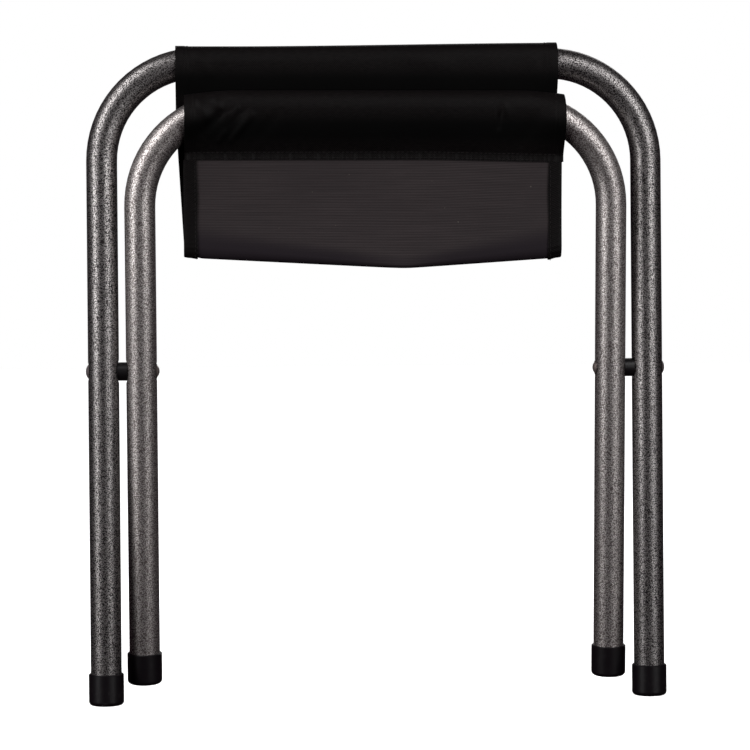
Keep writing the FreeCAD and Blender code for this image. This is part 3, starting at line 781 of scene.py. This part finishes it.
# Ridges and creases: where from and to as (x, depth), then width and height, in millimetres.
FRONT_MARKS = [
    ((-105, -1), (-124, 18), 3.4, -2.0),
    ((-98, 2), (-112, 23), 2.6, 1.5),
    ((-94, -1), (-107, 15), 2.4, -1.7),
    ((-90, 6), (-104, 23), 2.6, 1.5),
    ((-126, -3), (-121, 8), 3.0, 1.3),
    ((-114, -3), (-108, 5), 3.0, 1.2),
    ((-70, 4), (-84, 20), 4.0, -0.5),
    ((86.5, 0), (86.5, 14), 1.8, -1.6),
    ((89, -2), (92, 4), 2.6, 0.5),
    ((112, 10), (104, 22), 5.0, -0.6),
]
REAR_MARKS = [
    ((-128, -6), (-120, 8), 4.0, 0.6),
    ((118, -8), (121, 10), 4.0, -0.35),
    ((20, -3), (52, 3), 5.0, 0.4),
]

# The panel hangs between the two seams in one fold, lowest a little to the right of the middle.
PANEL_LOW, PANEL_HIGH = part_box("front_panel")[0].x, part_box("front_panel")[1].x
LOWEST_X = 20.0 * MM
LOWEST = PIVOT[2] + 72.8 * MM
LEFT_LIFT, RIGHT_LIFT = 8.7 * MM, 7.3 * MM  # how much higher its bottom is at its sides
HEM_HOLD = 1.3 * MM  # how much the stiff side hems hold it up besides
LAYER_STEPS, FOLD_STEPS = 48, 44
# Sizes in millimetres at the lowest place, and what they gain from there to the sides.
FOLD_HALF_WIDTH = 2.4, 0.8
FOLD_DEPTH = 2.2, 6.5
DARK_BAND = 9, 19  # the height of the shaded cloth above the fold


def widening(sizes, side):
    """A size that grows evenly from the panel's lowest place to its sides, in metres."""
    return (sizes[0] + sizes[1] * side) * MM


def panel_section(x):
    """The panel's y and z at each x, how much painted shade lies above its fold, and its share of
    the rear seam's width.

    Each layer runs from its seam to the fold, straight in z and as one and a half of the share less
    half its cube in y, so that it meets the fold upright. The fold is half an ellipse, narrow at
    its lowest place and wider and deeper towards the sides, where the cloth turns more gently. Its
    bottom rises with the distance to the lowest place, rounded off there by a hyperbola.
    """
    left = np.clip((LOWEST_X - x) / (LOWEST_X - PANEL_LOW), 0, 1)
    right = np.clip((x - LOWEST_X) / (PANEL_HIGH - LOWEST_X), 0, 1)
    side = (left + right)[:, None]
    rounding = 0.05
    eased = np.sqrt(side**2 + rounding**2) - rounding
    lift = np.where(x < LOWEST_X, LEFT_LIFT, RIGHT_LIFT)[:, None] * eased
    lift = lift + HEM_HOLD * smoothstep((side - 0.91) / 0.07)
    wide, deep = widening(FOLD_HALF_WIDTH, side), widening(FOLD_DEPTH, side)
    centre_z = LOWEST + lift + deep
    _, rear_seam_y, rear_seam_z = REAR.point(0.0, np.array(-CLOTH / 2), np.array(SLEEVE_DEPTH))
    _, front_seam_y, front_seam_z = FRONT.point(0.0, np.array(CLOTH / 2), np.array(SLEEVE_DEPTH))
    share = np.linspace(0, 1, LAYER_STEPS)[None]
    turn = np.linspace(0, math.pi, FOLD_STEPS)[None, 1:-1]
    gentle = 1.5 * share - 0.5 * share**3
    rear_y = rear_seam_y + (CREASE[1] + wide - rear_seam_y) * gentle
    rear_z = rear_seam_z + (centre_z - rear_seam_z) * share
    front_y = front_seam_y + (CREASE[1] - wide - front_seam_y) * gentle
    front_seam_z = (front_seam_z + FRONT.down[2] * seam_drop(x))[:, None]
    front_z = front_seam_z + (centre_z - front_seam_z) * share
    y = np.concatenate([rear_y, CREASE[1] + wide * np.cos(turn), front_y[:, ::-1]], axis=1)
    z = np.concatenate([rear_z, centre_z - deep * np.sin(turn), front_z[:, ::-1]], axis=1)
    low = LOWEST + lift
    above = (z - low) / widening(DARK_BAND, side)
    # Painted shade over a band above the fold, stronger towards the sides.
    folded = smoothstep(1.5 * (1 - above)) * (0.55 + 0.45 * smoothstep(side * 3))
    rear_share = np.concatenate([1 - share[0], 0 * turn[0], 0 * share[0]])[None] * np.ones_like(z)
    return y, z, folded, rear_share


WAVES = wave_seeds(8, 45 * MM, 160 * MM)


def panel_middle(x):
    """The panel's middle points at each x, which is measured along the front seam.

    The rear seam is as wide as the rear sleeve, so the rear layer's sides slant out to meet it, and
    between the seams the cloth stands out a little in shallow waves.
    """
    y, z, folded, rear_share = panel_section(x)
    across = (x - PANEL_LOW) / (PANEL_HIGH - PANEL_LOW)
    low_shift = REAR.low + PANEL_INSET - PANEL_LOW
    high_shift = REAR.high - PANEL_INSET - PANEL_HIGH
    shift = low_shift * (1 - across) + high_shift * across
    wide = x[:, None] + shift[:, None] * rear_share
    seam_share = np.linspace(0, 1, z.shape[1])[None]
    stiff_fold = 0.75 * np.exp(-(((seam_share - 0.5) / 0.12) ** 2))
    free = np.sin(math.pi * seam_share) ** 2 * (1 - stiff_fold)
    wave_height, bulge = 0.9 * MM, 0.5 * MM
    wave = unevenness(wide, z, wave_height, WAVES) * free
    y = y - np.where(seam_share > 0.5, 1.0, -0.4) * (wave + bulge * free)
    return np.stack([wide, y, z], axis=-1), folded


def build_panel():
    """The seat panel: one sheet from the rear seam down round the fold and up to the front seam."""
    x = np.linspace(PANEL_LOW, PANEL_HIGH, PANEL_ROWS)
    middle, folded = panel_middle(x)
    finishes = [GREY_BACK, BLACK_CLOTH]
    piece = cloth_piece("seat_panel", middle, finishes, painted_shade=folded, from_last=True)
    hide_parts("rear_panel", "front_panel")
    blend_over_crease(piece)
    return piece, float(arc_lengths(middle).mean(axis=0).max())


def blend_over_crease(piece):
    """Bakes a hanging piece's place into its mesh; the piece is not bent over the crease."""
    reach = np.array([0.0, 1.7 * MM, 0.0])
    start, end = tuple(CREASE + reach), tuple(CREASE - reach)
    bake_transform(piece)


def hem_line(side, inset):
    """A line down the panel, so far in from its left (-1) or right (1) side, and its normals."""
    edge = PANEL_LOW if side < 0 else PANEL_HIGH
    x = edge - side * inset + np.array([-0.5, 0.0, 0.5]) * MM
    middle, _ = panel_middle(x)
    return middle[1], grid_normals(middle)[1]


def build_hem(side, hand):
    """A side hem: the panel's edge turned over on to its underside and sewn down.

    Across its width it is half a turn round the panel's edge and then a flat run inwards. Its two
    folded layers are thicker than the panel, round off at the inner edge, and pucker a little at
    each stitch.
    """
    turn = np.linspace(0, math.pi, HEM_TURN_STEPS)[:-1]
    run = np.linspace(0, 1, HEM_RUN_STEPS)
    folded, flat_run = HEM_TURN * (1 - np.sin(turn)), HEM_TURN + (HEM_WIDTH - HEM_TURN) * run
    inset = np.concatenate([folded, flat_run]) - PANEL_INSET
    lift = np.concatenate([HEM_LIFT / 2 * (1 - np.cos(turn)), np.full(len(run), HEM_LIFT)])
    found = [hem_line(side, step) for step in inset]
    lines = np.stack([line for line, _ in found])
    normals = np.stack([normal for _, normal in found])
    along = arc_lengths(lines)[-1][None]
    flat_share = smoothstep(inset / (3 * MM))[:, None]
    pucker_height, wander_reach, wander_length = 0.1 * MM, 0.3 * MM, 43 * MM
    pucker = pucker_height * np.sin(along * 2 * math.pi / STITCH_LENGTH) * flat_share
    wander = wander_reach * np.sin(along * 2 * math.pi / wander_length + side) * flat_share
    middle = lines + normals * (lift[:, None] + pucker)[..., None]
    middle[..., 0] += wander + 0.6 * pucker
    near_edge = (1 - (HEM_WIDTH - PANEL_INSET - inset) / CLOTH).clip(0, 1)
    rounded = np.sqrt(np.clip(1 - near_edge**2, 0.12, 1))
    thicker = (HEM_THICKNESS - HEM_EDGE_THICKNESS) * smoothstep(inset / (2 * MM))
    thickness = (HEM_EDGE_THICKNESS + thicker) * rounded
    if side > 0:
        middle, thickness = middle[::-1], thickness[::-1]
    piece = cloth_piece(f"{hand}_hem_cloth", middle, [BLACK_CLOTH, BLACK_CLOTH], thickness[:, None])
    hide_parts(f"rear_{hand}_hem", f"front_{hand}_hem")
    blend_over_crease(piece)
    return piece, float(along.max())


def sampled(values, places, at):
    """Each coordinate of a line of points, read at the given places along it."""
    return np.stack([np.interp(at, places, values[:, axis]) for axis in range(3)], axis=-1)


def build_seam_stitches(half, x, middle, body):
    """The two rows of stitches that close a sleeve, on both of its faces."""
    normals = grid_normals(middle)
    end_gap = 3.5 * MM
    at = np.arange(half.low + end_gap, half.high - end_gap, STITCH_LENGTH)
    band = SLEEVE_DEPTH - STITCH_DEPTH
    centres, out = [], []
    for row in (0, 1):
        steps = (band - THREAD / 2 - row * STITCH_PITCH) / band * SEAM_STEPS
        low, high = math.floor(steps), math.ceil(steps)
        share = steps - low
        for first, second in ((low, high), (-1 - low, -1 - high)):
            line = middle[:, first] * (1 - share) + middle[:, second] * share
            face = unit(sampled(normals[:, first], x, at))
            centres.append(sampled(line, x, at) + face * (CLOTH / 2 + PROUD))
            out.append(face)
    centres, out = np.concatenate(centres), np.concatenate(out)
    along = np.broadcast_to(np.array([1.0, 0.0, 0.0]), centres.shape)
    piece = stitches(f"{half.name}_seam_thread", centres, along, out)
    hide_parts(f"{half.name}_seam_stitching")
    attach(piece, body)
    return piece


def build_hem_stitches():
    """The row of stitches down each side hem, on both faces of the panel."""
    centres, along, out = [], [], []
    end_gap, inset, hem_proud = 2 * MM, 1.75 * MM, 0.03 * MM
    for side in (-1, 1):
        line, normals = hem_line(side, HEM_WIDTH - inset)
        length = arc_lengths(line[None])[0]
        at = np.arange(end_gap, length[-1] - end_gap, STITCH_LENGTH)
        middle = sampled(line, length, at)
        face = unit(sampled(normals, length, at))
        way = unit(sampled(np.gradient(line, axis=0), length, at))
        hem_lift = HEM_LIFT + HEM_THICKNESS / 2 + hem_proud
        for facing, lift in ((face, hem_lift), (-face, CLOTH / 2 + PROUD)):
            centres.append(middle + facing * lift)
            along.append(way)
            out.append(facing)
    piece = stitches("hem_thread", *(np.concatenate(part) for part in (centres, along, out)))
    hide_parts("rear_hem_stitching", "front_hem_stitching")
    blend_over_crease(piece)
    return piece


def build_seat():
    """Makes the seat's pieces."""
    rear, rear_x, rear_middle, rear_length = build_sleeve(
        REAR,
        rear_rise,
        np.zeros_like,
        looseness=0.6 * MM,
        flare=1.0 * MM,
        hem=8.5 * MM,
        marks=REAR_MARKS,
    )
    front, front_x, front_middle, front_length = build_sleeve(
        FRONT,
        front_rise,
        seam_drop,
        looseness=0.8 * MM,
        flare=4.5 * MM,
        hem=6.8 * MM,
        marks=FRONT_MARKS,
    )
    panel, panel_length = build_panel()
    left, left_length = build_hem(-1, "left")
    right, right_length = build_hem(1, "right")
    rear_thread = build_seam_stitches(REAR, rear_x, rear_middle, "rear_seat")
    front_thread = build_seam_stitches(FRONT, front_x, front_middle, "front_sleeve")
    hem_thread = build_hem_stitches()


build_seat()

# The studio: a pale floor, soft lights and the camera.


def floor():
    """A plain pale floor under the foot caps, with a wide soft light of its own from above."""
    matt = {"Base Color": shade(0.9), "Roughness": 1.0, "Specular IOR Level": 0.0}
    pale = Finish("pale_floor").done(matt)
    half_side = 60.0
    corners = np.array([[-1, -1, 0], [1, -1, 0], [1, 1, 0], [-1, 1, 0]]) * half_side
    slab = make_object("studio_floor", corners, np.array([[0, 1, 2, 3]]), [pale])
    slab.visible_glossy = False
    slab.visible_diffuse = False
    lit_by_sky = bpy.data.collections.new("lit_by_sky")
    lit_by_sky.objects.link(slab)
    data = bpy.data.lights.new("sky", "SUN")
    data.angle = math.radians(70)
    data.energy = 4.3
    data.use_shadow = False
    sky = bpy.data.objects.new("sky", data)
    sky.light_linking.receiver_collection = lit_by_sky
    bpy.context.scene.collection.objects.link(sky)


def softbox(name, azimuth, elevation, distance, width, height, power):
    """A soft light that faces the stool's middle, so many degrees to the right of its front."""
    lit_height = 0.27
    middle = Vector(((cad_box[0][0] + cad_box[1][0]) / 2, 0.0, lit_height))
    turn, rise = math.radians(azimuth), math.radians(elevation)
    level = math.cos(rise)
    away = Vector((math.sin(turn) * level, -math.cos(turn) * level, math.sin(rise)))
    data = bpy.data.lights.new(name, "AREA")
    data.shape = "RECTANGLE"
    data.size, data.size_y = width, height
    data.energy = power
    light = bpy.data.objects.new(name, data)
    light.location = middle + away * distance
    light.rotation_euler = away.to_track_quat("Z", "Y").to_euler()
    bpy.context.scene.collection.objects.link(light)


def surroundings():
    """A white backdrop for the camera, and a dim studio for what the stool reflects."""
    world = bpy.data.worlds.new("studio")
    world.use_nodes = True
    tree = world.node_tree
    tree.nodes.clear()
    seen = tree.nodes.new("ShaderNodeLightPath")
    white = tree.nodes.new("ShaderNodeBackground")
    dim = tree.nodes.new("ShaderNodeBackground")
    white.inputs["Color"].default_value = shade(1.0)
    dim.inputs["Color"].default_value = shade(0.016, 0.0105, 0.013)
    either = tree.nodes.new("ShaderNodeMixShader")
    end = tree.nodes.new("ShaderNodeOutputWorld")
    tree.links.new(seen.outputs["Is Camera Ray"], either.inputs[0])
    tree.links.new(dim.outputs[0], either.inputs[1])
    tree.links.new(white.outputs[0], either.inputs[2])
    tree.links.new(either.outputs[0], end.inputs["Surface"])
    bpy.context.scene.world = world


def camera():
    """A long lens level with the upper legs, a little left of the middle and turned to it."""
    data = bpy.data.cameras.new("camera")
    data.lens = 113.41
    data.sensor_width = 36.0
    yaw, pitch, roll = math.radians(4.231), math.radians(-0.418), math.radians(-0.484)
    eye = bpy.data.objects.new("camera", data)
    left, back, up = 0.12728, 1.69521, 0.00827  # from the rivets' axis, in metres
    place = Vector((-left, PIVOT[1] - back, PIVOT[2] + up))
    eye.matrix_world = (
        Matrix.Translation(place)
        @ Matrix.Rotation(-yaw, 4, "Z")
        @ Matrix.Rotation(math.pi / 2 + pitch, 4, "X")
        @ Matrix.Rotation(roll, 4, "Z")
    )
    bpy.context.scene.collection.objects.link(eye)
    bpy.context.scene.camera = eye


floor()
softbox("key", azimuth=-57, elevation=26, distance=1.7, width=0.8, height=2.2, power=21)
softbox("fill", azimuth=40, elevation=22, distance=1.8, width=1.1, height=2.0, power=16.5)
softbox("top", azimuth=-5, elevation=50, distance=1.7, width=1.2, height=0.5, power=1)
softbox("back", azimuth=165, elevation=28, distance=2.2, width=1.4, height=1.2, power=7)
surroundings()
camera()
bpy.context.scene.view_settings.view_transform = "Standard"
